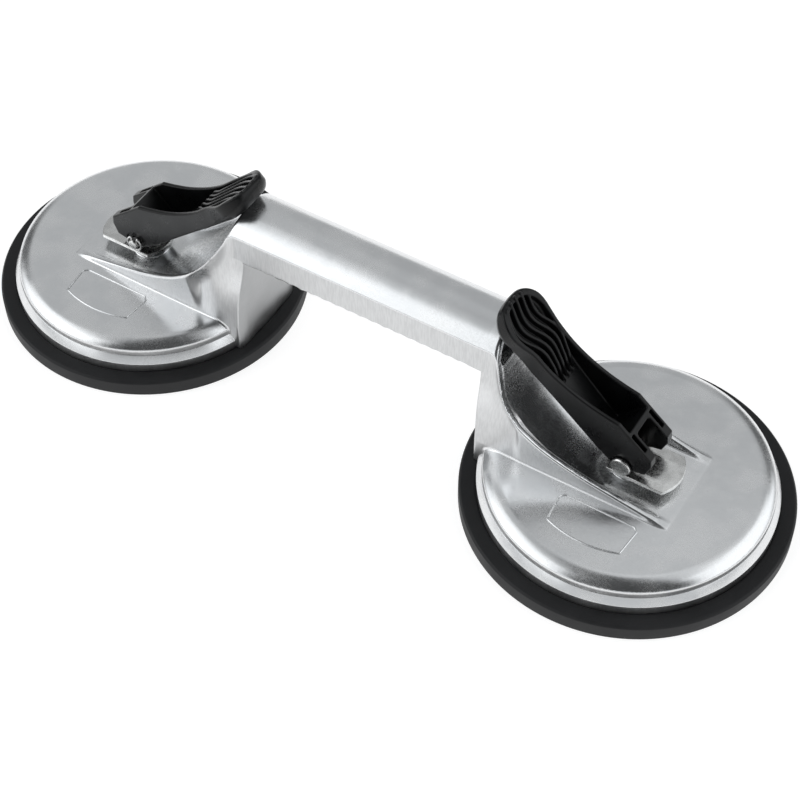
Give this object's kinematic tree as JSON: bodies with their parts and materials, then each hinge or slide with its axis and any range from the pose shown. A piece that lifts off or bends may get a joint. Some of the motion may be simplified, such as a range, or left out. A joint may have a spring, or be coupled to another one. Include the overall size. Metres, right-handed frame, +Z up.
{
  "type": "twin-cup vacuum suction lifter",
  "caption": "Hand lifter for glass and tile: a cast handle frame joins round rubber suction pads, each drawn up by a cam lever that is thrown over to hold the vacuum.",
  "frame": {"origin": "on the surface the lifter stands on, midway between the two pads' centres", "axes": "+X runs along the handle from pad b to pad a, +Y across it, +Z up out of the surface"},
  "size_m": [0.328, 0.12, 0.0759],
  "materials": {
    "cast_aluminium": "polished die casting",
    "plated_steel": "bright plated",
    "black_rubber": "matt moulded",
    "black_plastic": "satin moulded"
  },
  "bodies": {
    "root": {"cast_frame": "cast_aluminium", "rubber_pad_a": "black_rubber", "rubber_pad_b": "black_rubber", "pressure_plate_a": "plated_steel", "pressure_plate_b": "plated_steel"},
    "stud_a": {"draw_stud_a": "plated_steel", "insert_disc_a": "plated_steel", "stud_nut_a": "plated_steel", "pivot_pin_a": "plated_steel", "retaining_clip_a": "plated_steel"},
    "stud_b": {"draw_stud_b": "plated_steel", "insert_disc_b": "plated_steel", "stud_nut_b": "plated_steel", "pivot_pin_b": "plated_steel", "retaining_clip_b": "plated_steel"},
    "lever_a": {"lever_a": "black_plastic"},
    "lever_b": {"lever_b": "black_plastic"}
  },
  "joints": [
    {"name": "stud_lift_a", "type": "slide", "parent": "root", "child": "stud_a", "axis": [0, 0, 1], "range_m": [0, 0.00894]},
    {"name": "lever_throw_a", "type": "hinge", "parent": "stud_a", "child": "lever_a", "pos_m": [0.104, 0, 0.0283], "axis": [0, 1, 0], "range_deg": [0, 139.5]},
    {"name": "stud_lift_b", "type": "slide", "parent": "root", "child": "stud_b", "axis": [0, 0, 1], "range_m": [0, 0.00894]},
    {"name": "lever_throw_b", "type": "hinge", "parent": "stud_b", "child": "lever_b", "pos_m": [-0.104, 0, 0.0283], "axis": [0, -1, 0], "range_deg": [0, 139.5]}
  ],
  "couplings": [
    {"joint": "stud_lift_a", "follows": "lever_throw_a", "m_per_rad": 0.003667},
    {"joint": "stud_lift_b", "follows": "lever_throw_b", "m_per_rad": 0.003667}
  ]
}
